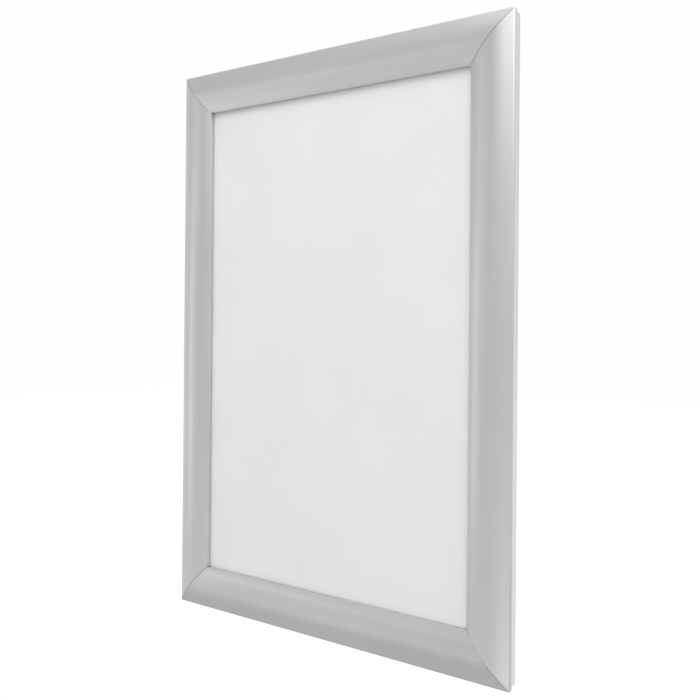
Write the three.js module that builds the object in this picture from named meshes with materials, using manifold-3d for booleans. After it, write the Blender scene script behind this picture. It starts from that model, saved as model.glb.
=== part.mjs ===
// A snap frame for a poster: four mitred rails in two layers, the front ones hinged open on the back ones.
// Millimetres, +Z up, the wall is the plane Y = 0 and the frame faces -Y.
// The origin is the middle of the top rail's back face, where the frame is held to the wall.
import * as THREE from 'three';
import { mergeVertices } from 'three/addons/utils/BufferGeometryUtils.js';
import Module from 'manifold-3d';

const wasm = await Module();
wasm.setup();

// Sheets
const poster_width = 210;
const poster_height = 297;
const poster_thickness = 0.25;
const cover_thickness = 0.5;
const panel_thickness = 4;
const panel_margin = 0.5;
const sheet_clearance = 0.05;

// Rails
const rail_width = 25;
const frame_depth = 11.3;
const mitre_gap = 0.2;
const base_mitre_gap = 0.12;

// Hinge of a snap rail on its base rail: a bead in a socket
const bead_radius = 1.1;
const socket_clearance = 0.12;
const socket_wall = 0.85;
const opening_angle = 80;
const curl_end_angle = 178;
const face_start_angle = 114;
const throat_angle = 35;

// Heel of a snap rail's socket, where the spring leaves push
const heel_radius = 2.8;
const heel_notch = 0.3;
const heel_half_angle = 14;
const heel_neck_angle = 38;
const heel_gap = 0.35;
const heel_end_inset = 9;
const toggle_tilt = 6;

// Face and lip of a snap rail
const crest_inset = 13.5;
const face_wall = 1.1;
const lip_wall = 1.2;
const lip_height = 8.4;
const lip_rounding = 0.5;
const lip_clearance = 0.15;

// Base rail
const floor_thickness = 1;
const floor_setback = 1.5;
const wall_thickness = 0.9;
const wall_lead = 0.1;
const channel_width = 8.43;
const rib_thickness = 1.4;
const rib_cap = 0.5;
const pocket_gap = 2.3;
const ledge_width = 1.4;
const ledge_thickness = 0.5;
const fixing_hole_diameter = 4.5;
const fixing_hole_spacing = 50;

// Corner keys and their grub screws
const key_thickness = 1.5;
const key_clearance = 0.1;
const key_side_clearance = 0.3;
const key_length = 42;
const key_chamfer = 1.5;
const screw_diameter = 3.9;
const screw_length = 3.5;
const screw_hole_clearance = 0.15;
const screw_socket_width = 2;
const screw_socket_depth = 1.6;
const screw_place_shares = [0.26, 0.74];

// Spring leaves
const leaf_width = 18;
const leaf_thickness = 0.5;
const leaf_bow = 0.5;
const leaf_clearance = 0.1;
const foot_depth = 0.2;
const groove_depth = 0.45;
const groove_height = 1;
const short_rail_leaf_place = 50;
const long_rail_leaf_place = 80;

// How finely round forms are divided
const curve_steps = 10;
const round_sides = 24;
const hexagon_sides = 6;
const cut_overrun = 1;

// Places across a rail: inset is measured inward from the frame's outer edge, height forward from the wall
const socket_inner = bead_radius + socket_clearance;
const socket_outer = socket_inner + socket_wall;
const hinge_inset = socket_outer;
const wall_outer = hinge_inset - wall_lead;
const wall_inner = wall_outer + wall_thickness;
const rib_outer = wall_inner + channel_width;
const rib_inner = rib_outer + rib_thickness;
const panel_inset = rib_inner + pocket_gap;
const poster_inset = panel_inset + panel_margin;
const channel_middle = (wall_inner + rib_outer) / 2;

const panel_height = floor_thickness + sheet_clearance;
const poster_face = panel_height + panel_thickness + sheet_clearance;
const cover_face = poster_face + poster_thickness + sheet_clearance;
const lip_foot = cover_face + cover_thickness + lip_clearance;

const key_near = wall_inner + key_side_clearance;
const key_far = rib_outer - key_side_clearance;
const screw_places = screw_place_shares.map((share) => key_far + (key_length - key_far) * share);
const ledge_height = floor_thickness + key_thickness + 2 * key_clearance;
const ledge_top = ledge_height + ledge_thickness;

const half_opening = opening_angle / 2;
const heel_angle = -toggle_tilt - half_opening;
const heel_low_angle = heel_angle - heel_half_angle;
const hinge_height = ledge_top + heel_gap - heel_radius * sine(heel_low_angle);

const foot_inset = rib_outer + foot_depth;
const foot_height = hinge_height - (foot_inset - hinge_inset) * Math.tan(radians(toggle_tilt));
const leaf_end_radius = heel_radius - heel_notch + leaf_thickness / 2 + leaf_clearance;
const rib_top = foot_height + groove_height / 2 + rib_cap;

// The whole frame
const outer_width = poster_width + 2 * poster_inset;
const outer_height = poster_height + 2 * poster_inset;
const half_width = outer_width / 2;
const half_height = outer_height / 2;
const frame_middle = channel_middle - half_height;

const materials = {
  anodised: new THREE.MeshStandardMaterial({ color: 0xc4c5c7, roughness: 0.38, metalness: 0.9 }),
  mill: new THREE.MeshStandardMaterial({ color: 0xb4b6b9, roughness: 0.45, metalness: 0.9 }),
  spring: new THREE.MeshStandardMaterial({ color: 0x8e9196, roughness: 0.35, metalness: 1 }),
  zinc: new THREE.MeshStandardMaterial({ color: 0xaeb0ad, roughness: 0.5, metalness: 0.9 }),
  screw: new THREE.MeshStandardMaterial({ color: 0x33353a, roughness: 0.45, metalness: 0.9 }),
  panel: new THREE.MeshStandardMaterial({ color: 0xf0f0ee, roughness: 0.6, metalness: 0 }),
  paper: new THREE.MeshStandardMaterial({ color: 0xf4f4f2, roughness: 0.9, metalness: 0 }),
  cover: new THREE.MeshStandardMaterial({ color: 0xf6f7f7, roughness: 0.3, metalness: 0 }),
};

const frame = new THREE.Group();

function radians(degrees) {
  return THREE.MathUtils.degToRad(degrees);
}

function sine(degrees) {
  return Math.sin(radians(degrees));
}

// A point at a distance and angle from the hinge: 0 degrees is inward, 90 is forward
function aboutHinge(radius, degrees) {
  const angle = radians(degrees);
  return new THREE.Vector2(
    hinge_inset + radius * Math.cos(angle),
    hinge_height + radius * Math.sin(angle),
  );
}

function hingeArc(shape, radius, from, to) {
  shape.absarc(hinge_inset, hinge_height, radius, radians(from), radians(to), to < from);
}

function lineThrough(shape, points) {
  for (const [inset, height] of points) {
    shape.lineTo(inset, height);
  }
}

// Points beside a curve, on its left, at a set distance
function beside(curve, distance) {
  const points = [];
  for (let step = 0; step <= curve_steps; step += 1) {
    const share = step / curve_steps;
    const point = curve.getPoint(share);
    const tangent = curve.getTangent(share);
    points.push(new THREE.Vector2(
      point.x - distance * tangent.y,
      point.y + distance * tangent.x,
    ));
  }
  return points;
}

function solidOf(geometry) {
  const bare = geometry.clone();
  bare.deleteAttribute('normal');
  bare.deleteAttribute('uv');
  const merged = mergeVertices(bare);
  return new wasm.Manifold(new wasm.Mesh({
    numProp: 3,
    vertProperties: Float32Array.from(merged.attributes.position.array),
    triVerts: Uint32Array.from(merged.index.array),
  }));
}

function geometryOf(solid) {
  const mesh = solid.getMesh();
  const geometry = new THREE.BufferGeometry();
  geometry.setAttribute('position', new THREE.BufferAttribute(mesh.vertProperties, mesh.numProp));
  geometry.setIndex(new THREE.BufferAttribute(mesh.triVerts, 1));
  const faceted = geometry.toNonIndexed();
  faceted.computeVertexNormals();
  return faceted;
}

function cutFrom(geometry, cutters) {
  let solid = solidOf(geometry);
  for (const cutter of cutters) {
    solid = solid.subtract(solidOf(cutter));
  }
  return geometryOf(solid);
}

// A section run along X, from -half to half at inset 0, and shortened by its inset at both mitred ends
function mitred(shape, half, gap) {
  const geometry = new THREE.ExtrudeGeometry(shape, {
    depth: 1,
    bevelEnabled: false,
    curveSegments: curve_steps,
  });
  const position = geometry.attributes.position;
  for (let index = 0; index < position.count; index += 1) {
    const inset = position.getX(index);
    const height = position.getY(index);
    const end = Math.sign(position.getZ(index) * 2 - 1);
    position.setXYZ(index, end * (half - inset - gap), inset, height);
  }
  geometry.computeVertexNormals();
  return geometry;
}

function boxBetween(low, high) {
  const size = new THREE.Vector3().subVectors(high, low);
  const middle = new THREE.Vector3().addVectors(high, low).divideScalar(2);
  const box = new THREE.BoxGeometry(size.x, size.y, size.z);
  return box.translate(middle.x, middle.y, middle.z);
}

// Section of a base rail: floor, outer wall with the hinge bead, and the rib that the springs stand on
function baseSection() {
  const bead_out = 180 + THREE.MathUtils.radToDeg(Math.acos(wall_lead / bead_radius));
  const bead_in = -THREE.MathUtils.radToDeg(Math.acos((wall_inner - hinge_inset) / bead_radius));
  const groove_low = foot_height - groove_height / 2;
  const groove_high = foot_height + groove_height / 2;
  const shape = new THREE.Shape();
  shape.moveTo(wall_outer, 0);
  lineThrough(shape, [
    [rail_width - floor_setback, 0],
    [rail_width - floor_setback, floor_thickness],
    [rib_inner, floor_thickness],
    [rib_inner, rib_top],
    [rib_outer, rib_top],
    [rib_outer, groove_high],
    [rib_outer + groove_depth, groove_high],
    [rib_outer + groove_depth, groove_low],
    [rib_outer, groove_low],
    [rib_outer, ledge_top],
    [rib_outer - ledge_width, ledge_top],
    [rib_outer - ledge_width, ledge_height],
    [rib_outer, ledge_height],
    [rib_outer, floor_thickness],
    [wall_inner, floor_thickness],
    [wall_inner, ledge_height],
    [wall_inner + ledge_width, ledge_height],
    [wall_inner + ledge_width, ledge_top],
    [wall_inner, ledge_top],
  ]);
  hingeArc(shape, bead_radius, bead_in, bead_out);
  return shape;
}

// Section of a snap rail: the curl and socket round the bead, the arched face, the lip and the heel
function snapSection() {
  const face_start = aboutHinge(socket_outer, face_start_angle);
  const crest = new THREE.Vector2(crest_inset, frame_depth);
  const rise = crest.x - face_start.x;
  const fall = rail_width - crest.x;
  const drop = frame_depth - lip_height;
  const start_slope = new THREE.Vector2(
    sine(face_start_angle),
    -Math.cos(radians(face_start_angle)),
  );
  const outer_lead_share = 0.35;
  const crest_lead_share = 0.35;
  const crest_run_share = 0.33;
  const lip_run_share = 0.33;
  const lip_rise_share = 0.66;

  const outer_face = new THREE.CubicBezierCurve(
    face_start,
    face_start.clone().addScaledVector(start_slope, rise * outer_lead_share),
    new THREE.Vector2(crest.x - rise * crest_lead_share, crest.y),
    crest,
  );
  const inner_face = new THREE.CubicBezierCurve(
    crest,
    new THREE.Vector2(crest.x + fall * crest_run_share, crest.y),
    new THREE.Vector2(rail_width - fall * lip_run_share, lip_height + drop * lip_rise_share),
    new THREE.Vector2(rail_width - lip_rounding, lip_height),
  );

  const underside = [...beside(outer_face, -face_wall), ...beside(inner_face, -face_wall)]
    .filter((point) => point.x > hinge_inset + socket_outer && point.x < rail_width - lip_wall)
    .reverse();
  const heel_high_angle = heel_angle + heel_half_angle;
  const heel = [
    aboutHinge(socket_outer, heel_high_angle),
    aboutHinge(heel_radius, heel_high_angle),
    aboutHinge(heel_radius - heel_notch, heel_angle),
    aboutHinge(heel_radius, heel_low_angle),
    aboutHinge(socket_outer, heel_low_angle),
    aboutHinge(socket_inner, -heel_neck_angle),
  ];

  const shape = new THREE.Shape();
  const curl_tip = aboutHinge(socket_inner, curl_end_angle);
  shape.moveTo(curl_tip.x, curl_tip.y);
  hingeArc(shape, socket_inner, curl_end_angle, -heel_neck_angle);
  lineThrough(shape, heel.reverse().map((point) => point.toArray()));
  hingeArc(shape, socket_outer, heel_high_angle, throat_angle);
  lineThrough(shape, underside.reverse().map((point) => point.toArray()));
  const lip_shoulder = underside.at(-1).y;
  lineThrough(shape, [
    [rail_width - lip_wall, lip_shoulder],
    [rail_width - lip_wall, lip_foot],
    [rail_width, lip_foot],
    [rail_width, lip_height - lip_rounding],
  ]);
  shape.absarc(
    rail_width - lip_rounding, lip_height - lip_rounding, lip_rounding, 0, Math.PI / 2, false,
  );
  lineThrough(shape, beside(inner_face, 0).reverse().map((point) => point.toArray()));
  lineThrough(shape, beside(outer_face, 0).reverse().map((point) => point.toArray()));
  hingeArc(shape, socket_outer, face_start_angle, curl_end_angle);
  return shape;
}

// Section of a spring leaf: a bowed strip from the heel's notch to the rib's groove
function leafSection() {
  const foot = new THREE.Vector2(foot_inset, foot_height);
  const tip = aboutHinge(leaf_end_radius, heel_angle);
  const middle = new THREE.Vector2().addVectors(foot, tip).divideScalar(2);
  middle.y -= 2 * leaf_bow;
  const strip = new THREE.QuadraticBezierCurve(tip, middle, foot);
  const outline = [
    ...beside(strip, -leaf_thickness / 2),
    ...beside(strip, leaf_thickness / 2).reverse(),
  ];
  return new THREE.Shape(outline);
}

function baseRail(half) {
  const cutters = [-1, 1].map((end) => {
    const hole = new THREE.CylinderGeometry(
      fixing_hole_diameter / 2,
      fixing_hole_diameter / 2,
      floor_thickness + 2 * cut_overrun,
      round_sides,
    );
    hole.rotateX(Math.PI / 2);
    return hole.translate(end * (half - fixing_hole_spacing), channel_middle, floor_thickness / 2);
  });
  return cutFrom(mitred(baseSection(), half, base_mitre_gap), cutters);
}

// The heel stops short of the mitred ends, so that it clears the next rail as it swings
function heelRelief(half, end) {
  const near = end * (half - heel_end_inset);
  const far = end * (half + cut_overrun);
  return boxBetween(
    new THREE.Vector3(Math.min(near, far), hinge_inset, 0),
    new THREE.Vector3(Math.max(near, far), hinge_inset + heel_radius + cut_overrun, hinge_height),
  );
}

// The curl is bevelled at the mitred ends, so that two open rails don't meet at the corner
function curlRelief(half, end) {
  const bevel_start = aboutHinge(socket_outer, 180 - half_opening);
  const bevel_end = aboutHinge(socket_inner, curl_end_angle + opening_angle);
  const shape = new THREE.Shape();
  shape.moveTo(end * (half - bevel_start.x), bevel_start.y);
  lineThrough(shape, [
    [end * (half - bevel_end.x - mitre_gap), hinge_height],
    [end * (half - bevel_end.x - mitre_gap), hinge_height - cut_overrun],
    [end * (half + cut_overrun), hinge_height - cut_overrun],
    [end * (half + cut_overrun), bevel_start.y],
  ]);
  const wedge = new THREE.ExtrudeGeometry(shape, {
    depth: hinge_inset + cut_overrun,
    bevelEnabled: false,
  });
  wedge.rotateX(Math.PI / 2);
  return wedge.translate(0, hinge_inset, 0);
}

function snapRail(half) {
  const cutters = [-1, 1].flatMap((end) => [heelRelief(half, end), curlRelief(half, end)]);
  return cutFrom(mitred(snapSection(), half, mitre_gap), cutters);
}

function springLeaf() {
  const leaf = new THREE.ExtrudeGeometry(leafSection(), {
    depth: leaf_width,
    bevelEnabled: false,
    curveSegments: curve_steps,
  });
  leaf.translate(0, 0, -leaf_width / 2);
  // The section's inset and height become Y and Z, and the leaf's width lies along X
  const axes = new THREE.Matrix4().makeBasis(
    new THREE.Vector3(0, 1, 0),
    new THREE.Vector3(0, 0, 1),
    new THREE.Vector3(1, 0, 0),
  );
  return leaf.applyMatrix4(axes);
}

// An L-shaped plate, its corner toward the frame's corner, with a threaded hole for each grub screw
function cornerKey() {
  const shape = new THREE.Shape();
  shape.moveTo(key_near, key_near);
  lineThrough(shape, [
    [key_length - key_chamfer, key_near],
    [key_length, key_near + key_chamfer],
    [key_length, key_far - key_chamfer],
    [key_length - key_chamfer, key_far],
    [key_far, key_far],
    [key_far, key_length - key_chamfer],
    [key_far - key_chamfer, key_length],
    [key_near + key_chamfer, key_length],
    [key_near, key_length - key_chamfer],
  ]);
  for (const place of screw_places) {
    for (const [x, y] of [[place, channel_middle], [channel_middle, place]]) {
      const hole = new THREE.Path();
      hole.absarc(x, y, screw_diameter / 2 + screw_hole_clearance, 0, Math.PI * 2, false);
      shape.holes.push(hole);
    }
  }
  const key = new THREE.ExtrudeGeometry(shape, {
    depth: key_thickness,
    bevelEnabled: false,
    curveSegments: curve_steps,
  });
  return key.translate(0, 0, floor_thickness + key_clearance);
}

// A grub screw with a hexagon socket, standing on the floor of the channel
function grubScrew() {
  const radius = screw_diameter / 2;
  const low = floor_thickness + key_clearance;
  const body = new THREE.CylinderGeometry(radius, radius, screw_length, round_sides);
  body.rotateX(Math.PI / 2).translate(0, 0, low + screw_length / 2);
  const socket_radius = screw_socket_width / Math.sqrt(3);
  const socket = new THREE.CylinderGeometry(
    socket_radius, socket_radius, screw_socket_depth + cut_overrun, hexagon_sides,
  );
  const socket_middle = low + screw_length - (screw_socket_depth - cut_overrun) / 2;
  socket.rotateX(Math.PI / 2).translate(0, 0, socket_middle);
  return cutFrom(body, [socket]);
}

// A flat sheet between two heights, centred in the frame
function sheet(name, width, height, low, thickness, material) {
  const mesh = new THREE.Mesh(new THREE.BoxGeometry(width, thickness, height), material);
  mesh.name = name;
  mesh.position.set(0, -low - thickness / 2, frame_middle);
  frame.add(mesh);
}

function addTo(group, name, geometry, material) {
  const mesh = new THREE.Mesh(geometry, material);
  mesh.name = name;
  group.add(mesh);
  return mesh;
}

// Each side has its own frame: X along the rail, Y inward from the outer edge, Z forward from the wall
const forward = new THREE.Vector3(0, -1, 0);
const right = new THREE.Vector3(1, 0, 0);
const up = new THREE.Vector3(0, 0, 1);
const left = right.clone().negate();
const down = up.clone().negate();

function turnedGroup(along, inward, place) {
  const group = new THREE.Group();
  group.quaternion.setFromRotationMatrix(new THREE.Matrix4().makeBasis(along, inward, forward));
  group.position.copy(place);
  group.position.z += frame_middle;
  frame.add(group);
  return group;
}

const sides = [
  {
    name: 'top', along: left, inward: down, half: half_width, reach: half_height,
    leaf_place: short_rail_leaf_place, leaf_names: ['left', 'right'], corner: 'top_right',
  },
  {
    name: 'bottom', along: right, inward: up, half: half_width, reach: half_height,
    leaf_place: short_rail_leaf_place, leaf_names: ['right', 'left'], corner: 'bottom_left',
  },
  {
    name: 'left', along: down, inward: right, half: half_height, reach: half_width,
    leaf_place: long_rail_leaf_place, leaf_names: ['lower', 'upper'], corner: 'top_left',
  },
  {
    name: 'right', along: up, inward: left, half: half_height, reach: half_width,
    leaf_place: long_rail_leaf_place, leaf_names: ['upper', 'lower'], corner: 'bottom_right',
  },
];

for (const side of sides) {
  const edge = side.inward.clone().multiplyScalar(-side.reach);
  const rail = turnedGroup(side.along, side.inward, edge);
  addTo(rail, `base_rail_${side.name}`, baseRail(side.half), materials.mill);
  addTo(rail, `snap_rail_${side.name}`, snapRail(side.half), materials.anodised);
  for (const [index, leaf_name] of side.leaf_names.entries()) {
    const leaf = addTo(rail, `spring_${side.name}_${leaf_name}`, springLeaf(), materials.spring);
    leaf.position.x = side.leaf_place * (1 - 2 * index);
  }

  // The corner that the rail starts from, which its first leg of the corner key lies along
  const corner = turnedGroup(
    side.along,
    side.inward,
    edge.clone().addScaledVector(side.along, -side.half),
  );
  addTo(corner, `corner_key_${side.corner}`, cornerKey(), materials.zinc);
  for (const [index, place] of screw_places.entries()) {
    const first = addTo(
      corner, `grub_screw_${side.corner}_a${index + 1}`, grubScrew(), materials.screw,
    );
    first.position.set(place, channel_middle, 0);
    const second = addTo(
      corner, `grub_screw_${side.corner}_b${index + 1}`, grubScrew(), materials.screw,
    );
    second.position.set(channel_middle, place, 0);
  }
}

sheet(
  'back_panel', poster_width + 2 * panel_margin, poster_height + 2 * panel_margin,
  panel_height, panel_thickness, materials.panel,
);
sheet('poster_sheet', poster_width, poster_height, poster_face, poster_thickness, materials.paper);
sheet(
  'clear_cover_sheet', poster_width + 2 * panel_margin, poster_height + 2 * panel_margin,
  cover_face, cover_thickness, materials.cover,
);

export default frame;
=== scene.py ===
import math

import bmesh
import bpy
import numpy as np
from mathutils import Matrix, Vector
from mathutils.geometry import tessellate_polygon


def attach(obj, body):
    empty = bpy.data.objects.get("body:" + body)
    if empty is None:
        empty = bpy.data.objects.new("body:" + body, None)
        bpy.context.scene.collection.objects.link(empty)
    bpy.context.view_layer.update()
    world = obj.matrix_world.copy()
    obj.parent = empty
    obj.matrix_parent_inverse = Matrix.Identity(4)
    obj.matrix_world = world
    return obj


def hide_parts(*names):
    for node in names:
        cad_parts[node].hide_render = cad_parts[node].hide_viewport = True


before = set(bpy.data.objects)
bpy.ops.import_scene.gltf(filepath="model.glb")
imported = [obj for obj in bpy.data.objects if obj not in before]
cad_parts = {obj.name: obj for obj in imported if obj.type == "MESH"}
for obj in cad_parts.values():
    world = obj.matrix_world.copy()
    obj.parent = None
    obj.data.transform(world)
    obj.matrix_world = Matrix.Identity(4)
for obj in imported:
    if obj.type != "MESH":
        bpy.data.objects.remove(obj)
mm = 0.001

# The whole frame
half_width = 120.5 * mm
half_height = 164 * mm
frame_middle = -156.915 * mm
rail_width = 25 * mm
frame_depth = 11.3 * mm
mitre_gap = 0.13 * mm

# Hinge of a snap rail, across the rail: inset is measured inward from the outer edge, height from the wall
hinge_inset = 2.07 * mm
hinge_height = 5.9748711 * mm
socket_inner = 1.22 * mm
socket_outer = 2.07 * mm
curl_end_angle = 178
face_start_angle = 114
throat_angle = 35
opening_angle = 80

# Heel of a snap rail, which the springs push
heel_radius = 2.8 * mm
heel_notch = 0.3 * mm
heel_angle = -46
heel_half_angle = 14
heel_neck_angle = 38
heel_end_inset = 9 * mm

# Face and lip of a snap rail
crest_inset = 13.5 * mm
face_wall = 1.1 * mm
lip_wall = 1.2 * mm
lip_height = 8.4 * mm
lip_foot = 6.05 * mm
lip_rounding = 0.5 * mm

# Spring leaves
leaf_width = 18 * mm
leaf_thickness = 0.5 * mm
leaf_bow = 0.5 * mm
leaf_corner = 1.6 * mm
leaf_end_radius = 2.85 * mm
foot_inset = 11.5 * mm
foot_height = 4.9837382 * mm
short_rail_leaf_place = 50 * mm
long_rail_leaf_place = 80 * mm

# Grub screws
screw_radius = 1.95 * mm
screw_length = 3.5 * mm
screw_foot = 1.1 * mm
screw_pitch = 0.7 * mm
screw_thread_depth = 0.28 * mm
screw_chamfer = 0.35 * mm
screw_socket_width = 2 * mm
screw_socket_depth = 1.6 * mm
screw_cone_depth = 0.3 * mm
screw_rim = 0.08 * mm
screw_places = (18.972 * mm, 33.948 * mm)
channel_middle = 7.085 * mm

# How far sharp edges are broken
rail_edge = 0.1 * mm
base_edge = 0.08 * mm
leaf_edge = 0.1 * mm
key_edge = 0.12 * mm
panel_edge = 0.15 * mm
edge_angle = 35
thread_edge_angle = 40
edge_segments = 2

# The camera, solved from the photograph's edges
camera_place = (382.14 * mm, -429.57 * mm, frame_middle + 14.25 * mm)
camera_yaw = 40.806
camera_pitch = 0.278
camera_roll = 0.49
camera_focal_share = 1029.86 / 700
camera_shift_share = -37.18 / 700
camera_near = 10 * mm

# The studio: a floor below the frame and a white surround, their brightness 1 for white
floor_drop = 0.9
floor_reach = 12
glow_distances = (1.7, 2.6)
glow_around = 0.24
glow_depths = (0.4, 1.5)
glow_behind = 0.36
surround_turn = (-0.15, 0.5)
surround_front = 0.673
surround_back = 0.994

# The part of its range in which a noise mostly lies
noise_span = (0.3, 0.7)

# How finely curves are divided
arc_steps = 16
face_steps = 32
end_steps = 3
leaf_rows = 28
leaf_columns = 20
screw_sides = 36
screw_rings = 36
merge_reach = 0.002 * mm

FORWARD = np.array([0.0, -1.0, 0.0])

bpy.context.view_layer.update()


def unit(angle):
    """The direction at an angle in degrees: (cos, sin)."""
    turn = np.radians(angle)
    return np.stack([np.cos(turn), np.sin(turn)], axis=-1)


def about_hinge(radius, angle):
    """A point across the rail, at a radius and angle from the hinge. 0 degrees is inward, 90 is forward."""
    return np.array([hinge_inset, hinge_height]) + radius * unit(angle)


def hinge_arc(radius, start, end):
    """Points on a circle about the hinge, their angles spaced evenly from start to end."""
    angles = np.linspace(start, end, arc_steps + 1)
    return about_hinge(radius, angles)


def cubic(first, first_pull, last_pull, last, steps):
    """A cubic curve: the four points weighted by (1-u)^3, 3u(1-u)^2, 3u^2(1-u) and u^3."""
    u = np.linspace(0, 1, steps + 1)[:, None]
    return (
        (1 - u) ** 3 * first
        + 3 * u * (1 - u) ** 2 * first_pull
        + 3 * u**2 * (1 - u) * last_pull
        + u**3 * last
    )


def beside(points, distance):
    """Points beside a curve: each moved to the left of the curve's direction there, by the distance."""
    along = np.gradient(points, axis=0)
    along /= np.linalg.norm(along, axis=1, keepdims=True)
    return points + distance * np.stack([-along[:, 1], along[:, 0]], axis=1)


def snap_faces():
    """The two curves of a snap rail's arched face: outer from the curl up to the crest, inner to the lip."""
    start_lead_share = 0.35
    crest_lead_share = 0.35
    crest_run_share = 0.33
    lip_run_share = 0.33
    lip_rise_share = 0.66
    start = about_hinge(socket_outer, face_start_angle)
    crest = np.array([crest_inset, frame_depth])
    lip = np.array([rail_width - lip_rounding, lip_height])
    rise = crest_inset - start[0]
    fall = rail_width - crest_inset
    drop = frame_depth - lip_height
    outer = cubic(
        start,
        start + unit(face_start_angle - 90) * rise * start_lead_share,
        crest - [rise * crest_lead_share, 0],
        crest,
        face_steps,
    )
    inner = cubic(
        crest,
        crest + [fall * crest_run_share, 0],
        np.array([rail_width - fall * lip_run_share, lip_height + drop * lip_rise_share]),
        lip,
        face_steps,
    )
    return outer, inner


def snap_section():
    """The closed outline of a snap rail, anticlockwise: socket, heel, underside, lip, face, curl."""
    outer, inner = snap_faces()
    heel_low = heel_angle - heel_half_angle
    heel_high = heel_angle + heel_half_angle
    heel = [
        about_hinge(socket_outer, heel_low),
        about_hinge(heel_radius, heel_low),
        about_hinge(heel_radius - heel_notch, heel_angle),
        about_hinge(heel_radius, heel_high),
    ]
    under = np.concatenate([beside(outer, -face_wall), beside(inner, -face_wall)[1:]])
    inside = (under[:, 0] > hinge_inset + socket_outer) & (under[:, 0] < rail_width - lip_wall)
    under = under[inside]
    corner = np.array([rail_width - lip_rounding, lip_height - lip_rounding])
    lip = [
        [rail_width - lip_wall, under[-1, 1]],
        [rail_width - lip_wall, lip_foot],
        [rail_width, lip_foot],
    ]
    lip_edge = corner + lip_rounding * unit(np.linspace(0, 90, arc_steps + 1))
    return np.concatenate([
        hinge_arc(socket_inner, curl_end_angle, -heel_neck_angle),
        heel,
        hinge_arc(socket_outer, heel_high, throat_angle),
        under,
        lip,
        lip_edge,
        inner[::-1][1:],
        outer[::-1][1:],
        hinge_arc(socket_outer, face_start_angle, curl_end_angle)[1:],
    ])


def without_heel(section):
    """The section near the mitres: the run of points inward of the hinge and below it is drawn as a half
    circle round the wall's end, from the socket's inside to its outside."""
    low = np.flatnonzero((section[:, 0] > hinge_inset) & (section[:, 1] < hinge_height))
    middle = [hinge_inset + (socket_inner + socket_outer) / 2, hinge_height]
    bare = section.copy()
    bare[low] = middle + (socket_outer - socket_inner) / 2 * unit(np.linspace(180, 360, len(low)))
    return bare


def mitred_end(section, half):
    """How far along the rail each point of the section reaches: half less the mitre's gap, and less the
    point's inset, or its inset once the rail is open if that is more. So open neighbours don't meet."""
    opening = math.radians(opening_angle)
    inward, forward = (section - [hinge_inset, hinge_height]).T
    opened = hinge_inset + inward * math.cos(opening) - forward * math.sin(opening)
    return half - np.maximum(section[:, 0], opened) - mitre_gap


def drawn_in(outline, distance):
    """A closed outline drawn in: each point moves by the distance, square to its neighbours' line."""
    along = np.roll(outline, -1, axis=0) - np.roll(outline, 1, axis=0)
    along /= np.linalg.norm(along, axis=1, keepdims=True)
    return outline + distance * np.stack([-along[:, 1], along[:, 0]], axis=1)


def rounded_end(outline, half):
    """Reach and outline of the rings at a rail's end, from its flat face back. The edge is a quarter circle:
    at each angle the outline is drawn in by the edge's radius times 1 less the sine, and set back by the
    radius times 1 less the cosine. One more ring, two radii back, keeps the long faces' shading straight."""
    rings = []
    for turn in np.linspace(0, math.pi / 2, end_steps + 1):
        ring = drawn_in(outline, rail_edge * (1 - math.sin(turn)))
        rings.append((mitred_end(ring, half) - rail_edge * (1 - math.cos(turn)), ring))
    rings.append((mitred_end(outline, half) - 2 * rail_edge, outline))
    return rings


class Side:
    """One side of the frame, with its own axes: along the rail, inward from the outer edge, forward from the
    wall. Half is half the rail's length, and reach how far its outer edge is from the frame's middle."""

    def __init__(self, name, along, inward, leaf_names, corner):
        self.name = name
        self.along = np.array(along, dtype=float)
        self.inward = np.array(inward, dtype=float)
        self.axis = "x" if along[0] else "z"
        self.half, self.reach = (half_width, half_height) if self.axis == "x" else (half_height, half_width)
        self.edge = np.array([0, 0, frame_middle]) - self.inward * self.reach
        self.leaf_place = short_rail_leaf_place if self.axis == "x" else long_rail_leaf_place
        self.leaf_names = leaf_names
        self.corner = corner

    def place(self, x, inset, height):
        """A point of the side in the part's frame: edge + x along + inset inward + height forward."""
        x, inset, height = np.broadcast_arrays(x, inset, height)
        return (
            self.edge
            + x[..., None] * self.along
            + inset[..., None] * self.inward
            + height[..., None] * FORWARD
        )


SIDES = [
    Side("top", (-1, 0, 0), (0, 0, -1), ("left", "right"), "top_right"),
    Side("bottom", (1, 0, 0), (0, 0, 1), ("right", "left"), "bottom_left"),
    Side("left", (0, 0, -1), (1, 0, 0), ("lower", "upper"), "top_left"),
    Side("right", (0, 0, 1), (-1, 0, 0), ("upper", "lower"), "bottom_right"),
]


def grid_faces(rows, columns, wrap):
    """The quads between neighbours in a grid of rows by columns, the columns joined round if wrap is set."""
    row = np.arange(rows - 1)[:, None]
    column = np.arange(columns if wrap else columns - 1)[None, :]
    after = (column + 1) % columns
    corners = [
        row * columns + column,
        row * columns + after,
        (row + 1) * columns + after,
        (row + 1) * columns + column,
    ]
    return np.stack([np.broadcast_to(c, (rows - 1, column.size)) for c in corners], axis=-1).reshape(-1, 4)


def cap_faces(outline, first):
    """Triangles that fill a closed outline, its points numbered from first."""
    triangles = tessellate_polygon([[(x, y, 0) for x, y in outline]])
    return [[first + index for index in triangle] for triangle in triangles]


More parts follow.
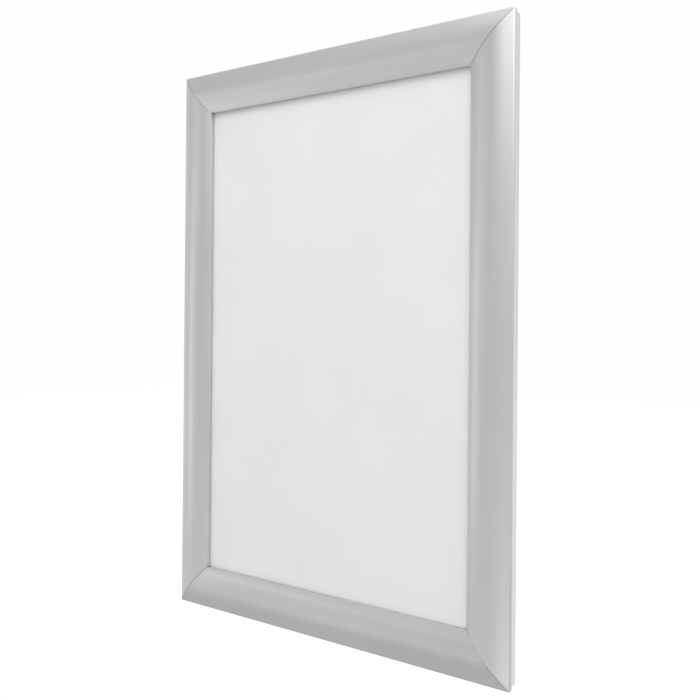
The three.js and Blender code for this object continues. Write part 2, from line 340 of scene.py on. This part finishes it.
def made_piece(name, points, faces, material):
    """A smooth-shaded mesh object from an array of points and a list of faces, its doubles merged and its
    normals turned outwards."""
    mesh = bpy.data.meshes.new(name)
    mesh.from_pydata(points.reshape(-1, 3), [], faces)
    work = bmesh.new()
    work.from_mesh(mesh)
    bmesh.ops.remove_doubles(work, verts=work.verts, dist=merge_reach)
    bmesh.ops.dissolve_degenerate(work, edges=work.edges, dist=merge_reach)
    bmesh.ops.recalc_face_normals(work, faces=work.faces)
    work.to_mesh(mesh)
    work.free()
    mesh.shade_smooth()
    mesh.materials.append(material)
    piece = bpy.data.objects.new(name, mesh)
    bpy.context.collection.objects.link(piece)
    return piece


def break_edges(piece, width):
    """Rounds a piece's sharp edges by a width."""
    bevel = piece.modifiers.new("broken edges", "BEVEL")
    bevel.width = width
    bevel.segments = edge_segments
    bevel.limit_method = "ANGLE"
    bevel.angle_limit = math.radians(edge_angle)
    bevel.harden_normals = True


def snap_rail(side, material):
    """The snap rail's section carried along the rail: with its heel in the middle, bare near the mitres, and
    drawn in to a rounded edge at both ends."""
    section = snap_section()
    bare = without_heel(section)
    rings = rounded_end(bare, side.half)
    heel_end = np.minimum(rings[-1][0], side.half - heel_end_inset)
    stations = [(-reach, ring) for reach, ring in rings]
    stations += [(-heel_end, bare), (-heel_end, section), (heel_end, section), (heel_end, bare)]
    stations += [(reach, ring) for reach, ring in reversed(rings)]
    points = np.array([side.place(x, ring[:, 0], ring[:, 1]) for x, ring in stations])
    count = len(section)
    faces = grid_faces(len(stations), count, True).tolist()
    faces += cap_faces(rings[0][1], 0)
    faces += cap_faces(rings[0][1], (len(stations) - 1) * count)
    piece = made_piece(f"finished_snap_rail_{side.name}", points, faces, material)
    piece.data.set_sharp_from_angle(angle=math.radians(edge_angle))
    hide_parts(f"snap_rail_{side.name}")
    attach(piece, f"rail_{side.name}")


def spring_leaf(side, index, material):
    """A bowed strip from the heel's notch to the rib's groove: a quadratic curve, its width full in the
    middle and drawn in by a quarter circle at each end, so its corners are round."""
    tip = about_hinge(leaf_end_radius, heel_angle)
    foot = np.array([foot_inset, foot_height])
    pull = (tip + foot) / 2 - [0, 2 * leaf_bow]
    share = (1 - np.cos(np.linspace(0, math.pi, leaf_rows + 1))) / 2
    u = share[:, None]
    line = (1 - u) ** 2 * tip + 2 * u * (1 - u) * pull + u**2 * foot
    length = np.linalg.norm(foot - tip)
    from_end = np.minimum(share, 1 - share) * length
    short = np.clip(leaf_corner - from_end, 0, leaf_corner)
    half = leaf_width / 2 - leaf_corner + np.sqrt(leaf_corner**2 - short**2)
    across = np.linspace(-1, 1, leaf_columns + 1)
    middle = side.leaf_place * (1 - 2 * index)
    points = side.place(middle + half[:, None] * across, line[:, :1], line[:, 1:])
    name = f"spring_{side.name}_{side.leaf_names[index]}"
    faces = grid_faces(leaf_rows + 1, leaf_columns + 1, False).tolist()
    piece = made_piece(f"finished_{name}", points, faces, material)
    wall = piece.modifiers.new("thickness", "SOLIDIFY")
    wall.thickness = leaf_thickness
    wall.offset = 0
    break_edges(piece, leaf_edge)
    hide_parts(name)
    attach(piece, f"leaves_{side.name}")


def hexagon(angles, width):
    """The distance from the middle to a hexagon's side at each angle, for a width across its flats."""
    sector = np.mod(angles + math.pi / 6, math.pi / 3) - math.pi / 6
    return width / 2 / np.cos(sector)


def grub_screw(side, name, x, inset, material):
    """Rings round the screw's axis, from the middle of its foot up its thread, over its top and down into
    the hexagon socket. On the thread the radius falls by a cosine of height over pitch less the turn, a
    helix, and the ends are drawn in by the chamfer."""
    angles = np.linspace(0, 2 * math.pi, screw_sides, endpoint=False)
    rise = np.linspace(0, screw_length, screw_rings)
    wave = (1 - np.cos(2 * math.pi * (rise[:, None] / screw_pitch - angles / (2 * math.pi)))) / 2
    side_radius = screw_radius - screw_thread_depth * wave
    from_end = np.minimum(rise, screw_length - rise)[:, None]
    chamfered = screw_radius - np.clip(screw_chamfer - from_end, 0, None)
    thread = np.minimum(side_radius, chamfered)
    flat = np.ones_like(angles)
    socket = hexagon(angles, screw_socket_width)
    bottom = screw_length - screw_socket_depth
    rings = [(0 * flat, 0), *zip(thread, rise)]
    rings += [(socket + screw_rim, screw_length), (socket, screw_length - screw_rim)]
    rings += [(socket, bottom), (0 * flat, bottom - screw_cone_depth)]
    radius = np.array([ring for ring, _ in rings])
    height = np.array([level for _, level in rings])[:, None] + screw_foot
    points = side.place(
        x + radius * np.cos(angles), inset + radius * np.sin(angles), np.broadcast_to(height, radius.shape)
    )
    faces = grid_faces(len(rings), screw_sides, True).tolist()
    piece = made_piece(f"finished_{name}", points, faces, material)
    piece.data.set_sharp_from_angle(angle=math.radians(thread_edge_angle))
    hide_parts(name)
    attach(piece, "base_frame")


class Look:
    """A material being built: its nodes, and short ways to add and join them."""

    def __init__(self, name, colour, metallic, roughness):
        self.material = bpy.data.materials.new(name)
        self.material.use_nodes = True
        self.tree = self.material.node_tree
        self.shader = self.tree.nodes["Principled BSDF"]
        self.colour = colour
        self.set(self.shader, "Base Color", (*colour, 1))
        self.set(self.shader, "Metallic", metallic)
        self.set(self.shader, "Roughness", roughness)

    def set(self, node, socket, value):
        node.inputs[socket].default_value = value

    def add(self, kind, **values):
        node = self.tree.nodes.new(kind)
        for socket, value in values.items():
            node.inputs[socket.replace("_", " ")].default_value = value
        return node

    def join(self, source, output, target, socket):
        self.tree.links.new(source.outputs[output], target.inputs[socket])

    def coordinates(self, scale):
        """Object coordinates multiplied by a scale for each axis, in patterns to the metre."""
        source = self.add("ShaderNodeTexCoord")
        mapping = self.add("ShaderNodeMapping", Scale=scale)
        self.join(source, "Object", mapping, "Vector")
        return mapping

    def noise(self, scale, detail, rough=0.5):
        """Noise between 0 and 1 on scaled object coordinates."""
        texture = self.add("ShaderNodeTexNoise", Scale=1.0, Detail=detail, Roughness=rough)
        self.join(self.coordinates(scale), "Vector", texture, "Vector")
        return texture

    def between(self, source, low, high, output="Fac", span=noise_span):
        """A value from low to high as the source goes through its span."""
        value = self.add("ShaderNodeMapRange", From_Min=span[0], From_Max=span[1], To_Min=low, To_Max=high)
        self.join(source, output, value, "Value")
        return value

    def gloss(self, source, smooth, rough, **reading):
        """Roughness that goes from smooth to rough with the source."""
        self.join(self.between(source, smooth, rough, **reading), "Result", self.shader, "Roughness")

    def tint(self, source, darker, lighter, **reading):
        """The base colour times a grey that goes from darker to lighter with the source."""
        ramp = self.add("ShaderNodeValToRGB")
        low, high = ramp.color_ramp.elements
        low.color = (*(c * darker for c in self.colour), 1)
        high.color = (*(min(1, c * lighter) for c in self.colour), 1)
        self.join(self.between(source, 0, 1, **reading), "Result", ramp, "Fac")
        self.join(ramp, "Color", self.shader, "Base Color")

    def relief(self, source, depth):
        """Bump from a noise, its full range as deep as depth, in metres."""
        bump = self.add("ShaderNodeBump", Strength=1.0, Distance=depth)
        self.join(source, "Fac", bump, "Height")
        self.join(bump, "Normal", self.shader, "Normal")


def drawn_aluminium(name, colour, roughness, along, lines, line_depth, streaks, tones):
    """Extruded aluminium: noise drawn out along the rail for the die's fine lines, in relief and roughness,
    and a wider one for streaks of tone. Lines is how many patterns lie in a metre across the rail, and
    streaks how many lie in a metre along it and across it."""
    line_stretch = 0.008
    streaks_along, streaks_across = streaks
    darker, lighter = tones
    smoother, rougher = 0.035, 0.045
    look = Look(name, colour, metallic=1.0, roughness=roughness)
    line_scale = [lines * (line_stretch if axis == along else 1) for axis in "xyz"]
    streak_scale = [streaks_along if axis == along else streaks_across for axis in "xyz"]
    fine = look.noise(line_scale, detail=3.0, rough=0.6)
    wide = look.noise(streak_scale, detail=2.0)
    look.gloss(fine, smooth=roughness - smoother, rough=roughness + rougher)
    look.tint(wide, darker=darker, lighter=lighter)
    look.relief(fine, line_depth)
    return look.material


def mill_aluminium(along):
    """The base rails' finish, as it leaves the die: narrow streaks a little darker than the rest."""
    colour = (0.7, 0.703, 0.708)
    roughness = 0.38
    lines = 2200
    line_depth = 0.015 * mm
    streaks = (3, 900)
    tones = (0.88, 1.03)
    name = f"mill aluminium {along}"
    return drawn_aluminium(name, colour, roughness, along, lines, line_depth, streaks, tones)


def anodised_aluminium(along):
    """The snap rails' finish: brushed matt and anodised, its tone almost even."""
    colour = (0.678, 0.68, 0.683)
    roughness = 0.32
    lines = 3200
    line_depth = 0.006 * mm
    streaks = (14, 45)
    tones = (0.97, 1.02)
    name = f"anodised aluminium {along}"
    return drawn_aluminium(name, colour, roughness, along, lines, line_depth, streaks, tones)


def spring_steel():
    """Bare rolled spring steel: fine lines across the leaf, and patches of oil darkening."""
    line_scale = (1500, 60, 1500)
    patch_scale = (160, 160, 160)
    line_depth = 0.01 * mm
    look = Look("spring steel", colour=(0.42, 0.42, 0.43), metallic=1.0, roughness=0.3)
    lines = look.noise(line_scale, detail=2.0)
    patches = look.noise(patch_scale, detail=4.0, rough=0.6)
    look.gloss(lines, smooth=0.24, rough=0.38)
    look.tint(patches, darker=0.72, lighter=1.1)
    look.relief(lines, line_depth)
    return look.material


def zinc_plate():
    """Zinc-plated pressed steel: a cell pattern of crystals that differ in tone and gloss."""
    crystal_scale = (420, 420, 420)
    grain_scale = (2600, 2600, 2600)
    grain_depth = 0.008 * mm
    look = Look("zinc plate", colour=(0.52, 0.53, 0.53), metallic=1.0, roughness=0.42)
    cells = look.add("ShaderNodeTexVoronoi", Scale=1.0)
    look.join(look.coordinates(crystal_scale), "Vector", cells, "Vector")
    look.gloss(cells, smooth=0.34, rough=0.5, output="Color", span=(0, 1))
    look.tint(cells, darker=0.88, lighter=1.08, output="Color", span=(0, 1))
    look.relief(look.noise(grain_scale, detail=2.0), grain_depth)
    return look.material


def black_screw_steel():
    """Blackened steel: a speckle of tone and a rough grain."""
    grain_scale = (3000, 3000, 3000)
    grain_depth = 0.01 * mm
    look = Look("blackened steel", colour=(0.035, 0.036, 0.042), metallic=0.8, roughness=0.45)
    grain = look.noise(grain_scale, detail=3.0, rough=0.6)
    look.gloss(grain, smooth=0.36, rough=0.58)
    look.tint(grain, darker=0.7, lighter=1.5)
    look.relief(grain, grain_depth)
    return look.material


def white_sheet(name, colour, roughness, grain_scale, grain_depth):
    """A white sheet: fine grain in relief and gloss, and a slow cloud of tone."""
    cloud_scale = (22, 22, 22)
    gloss_spread = 0.06
    soft_highlight = 0.3
    look = Look(name, colour, metallic=0.0, roughness=roughness)
    look.set(look.shader, "Specular IOR Level", soft_highlight)
    grain = look.noise(grain_scale, detail=4.0, rough=0.6)
    cloud = look.noise(cloud_scale, detail=2.0)
    look.gloss(grain, smooth=roughness - gloss_spread, rough=roughness + gloss_spread)
    look.tint(cloud, darker=0.985, lighter=1.01)
    look.relief(grain, grain_depth)
    return look.material


def white_polystyrene():
    """The back panel's finish: a fine moulded grain."""
    colour = (0.86, 0.86, 0.85)
    roughness = 0.5
    grain_scale = (900, 900, 900)
    grain_depth = 0.012 * mm
    return white_sheet("white polystyrene", colour, roughness, grain_scale, grain_depth)


def white_paper():
    """The poster's finish: a fine grain, longer along the sheet's height as its fibres lie."""
    colour = (0.867, 0.867, 0.862)
    roughness = 0.85
    grain_scale = (2400, 2400, 960)
    grain_depth = 0.01 * mm
    return white_sheet("white paper", colour, roughness, grain_scale, grain_depth)


def clear_cover():
    """A clear sheet with an anti-glare face: nearly see-through, its fine matt grain spreads the gloss."""
    grain_scale = (1400, 1400, 1400)
    cloud_scale = (18, 18, 18)
    grain_depth = 0.006 * mm
    haze = 0.22
    sheet_index = 1.49
    look = Look("clear anti-glare sheet", colour=(0.93, 0.94, 0.94), metallic=0.0, roughness=0.42)
    look.set(look.shader, "Alpha", haze)
    look.set(look.shader, "IOR", sheet_index)
    grain = look.noise(grain_scale, detail=3.0, rough=0.6)
    cloud = look.noise(cloud_scale, detail=2.0)
    look.gloss(grain, smooth=0.38, rough=0.47)
    look.tint(cloud, darker=0.985, lighter=1.01)
    look.relief(grain, grain_depth)
    return look.material


def dress(node, material, edge=0.0):
    """Gives a CAD node its finish, and with an edge welds its triangles and rounds its sharp edges."""
    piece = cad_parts[node]
    piece.data.materials.clear()
    piece.data.materials.append(material)
    if edge:
        weld = piece.modifiers.new("joined faces", "WELD")
        weld.merge_threshold = merge_reach
        break_edges(piece, edge)


def look_towards(yaw, pitch, roll):
    """A camera's axes from its yaw to the left of +Y, its pitch above the horizon and its roll."""
    yaw, pitch, roll = (math.radians(angle) for angle in (yaw, pitch, roll))
    ahead = Vector((-math.sin(yaw) * math.cos(pitch), math.cos(yaw) * math.cos(pitch), math.sin(pitch)))
    across = ahead.cross(Vector((0, 0, 1))).normalized()
    above = across.cross(ahead)
    right = math.cos(roll) * across + math.sin(roll) * above
    up = math.cos(roll) * above - math.sin(roll) * across
    return Matrix((right, up, -ahead)).transposed()


def camera():
    """The photograph's camera: place, aim, focal length and vertical shift."""
    lens = bpy.data.cameras.new("camera")
    lens.sensor_fit = "HORIZONTAL"
    lens.lens = camera_focal_share * lens.sensor_width
    lens.shift_y = camera_shift_share
    lens.clip_start = camera_near
    holder = bpy.data.objects.new("camera", lens)
    turn = look_towards(camera_yaw, camera_pitch, camera_roll)
    holder.matrix_world = Matrix.Translation(camera_place) @ turn.to_4x4()
    bpy.context.collection.objects.link(holder)
    bpy.context.scene.camera = holder


def softbox(name, azimuth, elevation, distance, width, height, glow):
    """A soft rectangular light that faces the frame's middle, at an azimuth from -Y towards +X. Its power is
    its glow, the brightness of its face, times pi and its area."""
    lamp = bpy.data.lights.new(name, "AREA")
    lamp.shape = "RECTANGLE"
    lamp.size = width
    lamp.size_y = height
    lamp.energy = glow * math.pi * width * height
    holder = bpy.data.objects.new(name, lamp)
    azimuth, elevation = math.radians(azimuth), math.radians(elevation)
    away = Vector((
        math.sin(azimuth) * math.cos(elevation),
        -math.cos(azimuth) * math.cos(elevation),
        math.sin(elevation),
    ))
    holder.location = Vector((0, 0, frame_middle)) + away * distance
    holder.rotation_euler = away.to_track_quat("Z", "Y").to_euler()
    bpy.context.collection.objects.link(holder)


def eased(tree, source, output, start, end, low, high):
    """A value that eases from low to high as the source goes from start to end."""
    ease = tree.nodes.new("ShaderNodeMapRange")
    ease.interpolation_type = "SMOOTHSTEP"
    for socket, value in zip(("From Min", "From Max", "To Min", "To Max"), (start, end, low, high)):
        ease.inputs[socket].default_value = value
    tree.links.new(source.outputs[output], ease.inputs["Value"])
    return ease


def pale_floor():
    """A square floor of matt white that glows away from the frame: the glow rises with the distance from the
    middle, and once more towards the back."""
    corners = np.array([[-1, -1], [1, -1], [1, 1], [-1, 1]]) * floor_reach
    mesh = bpy.data.meshes.new("floor")
    level = frame_middle - half_height - floor_drop
    mesh.from_pydata(np.column_stack([corners, np.full(4, level)]), [], [[0, 1, 2, 3]])
    cloud_scale = (3, 3, 3)
    look = Look("pale floor", colour=(0.6, 0.6, 0.6), metallic=0.0, roughness=0.9)
    look.tint(look.noise(cloud_scale, detail=2.0), darker=0.99, lighter=1.01)
    place = look.add("ShaderNodeTexCoord")
    distance = look.add("ShaderNodeVectorMath")
    distance.operation = "LENGTH"
    look.join(place, "Object", distance, 0)
    parts = look.add("ShaderNodeSeparateXYZ")
    look.join(place, "Object", parts, "Vector")
    around = eased(look.tree, distance, "Value", *glow_distances, 0, glow_around)
    behind = eased(look.tree, parts, "Y", *glow_depths, 0, glow_behind)
    both = look.add("ShaderNodeMath")
    both.operation = "ADD"
    look.join(around, "Result", both, 0)
    look.join(behind, "Result", both, 1)
    look.join(both, "Value", look.shader, "Emission Strength")
    look.set(look.shader, "Emission Color", (1, 1, 1, 1))
    mesh.materials.append(look.material)
    floor = bpy.data.objects.new("floor", mesh)
    bpy.context.collection.objects.link(floor)


def surround():
    """The white all round: brighter behind the frame than in front of it, easing over between the two."""
    world = bpy.data.worlds.new("surround")
    world.use_nodes = True
    tree = world.node_tree
    direction = tree.nodes.new("ShaderNodeTexCoord")
    parts = tree.nodes.new("ShaderNodeSeparateXYZ")
    tree.links.new(direction.outputs["Generated"], parts.inputs["Vector"])
    glow = eased(tree, parts, "Y", *surround_turn, surround_front, surround_back)
    background = tree.nodes["Background"]
    background.inputs["Color"].default_value = (1, 1, 1, 1)
    tree.links.new(glow.outputs["Result"], background.inputs["Strength"])
    bpy.context.scene.world = world


def studio():
    pale_floor()
    surround()
    softbox("key", azimuth=35, elevation=45, distance=1.6, width=1.0, height=0.5, glow=3.85)
    softbox("overhead", azimuth=0, elevation=75, distance=1.5, width=1.2, height=1.2, glow=1.02)
    softbox("upper front", azimuth=24, elevation=27, distance=1.6, width=0.9, height=0.5, glow=0.82)
    softbox("upper right", azimuth=60, elevation=35, distance=1.6, width=1.0, height=1.0, glow=1.33)
    softbox("lower front", azimuth=28, elevation=-32, distance=1.6, width=0.8, height=0.4, glow=0.77)
    softbox("left front", azimuth=-45, elevation=12, distance=1.6, width=0.8, height=0.35, glow=0.18)
    softbox("near left", azimuth=-62, elevation=-3, distance=0.9, width=0.35, height=0.4, glow=0.3)


def build():
    anodised = {axis: anodised_aluminium(axis) for axis in "xz"}
    mill = {axis: mill_aluminium(axis) for axis in "xz"}
    spring = spring_steel()
    zinc = zinc_plate()
    blackened = black_screw_steel()
    for side in SIDES:
        snap_rail(side, anodised[side.axis])
        dress(f"base_rail_{side.name}", mill[side.axis], base_edge)
        for index in range(2):
            spring_leaf(side, index, spring)
        dress(f"corner_key_{side.corner}", zinc, key_edge)
        start = -side.half
        for number, place in enumerate(screw_places, 1):
            grub_screw(side, f"grub_screw_{side.corner}_a{number}", start + place, channel_middle, blackened)
            grub_screw(side, f"grub_screw_{side.corner}_b{number}", start + channel_middle, place, blackened)
    dress("back_panel", white_polystyrene(), panel_edge)
    dress("poster_sheet", white_paper())
    dress("clear_cover_sheet", clear_cover())


camera()
studio()
build()
bpy.context.scene.view_settings.view_transform = "Standard"
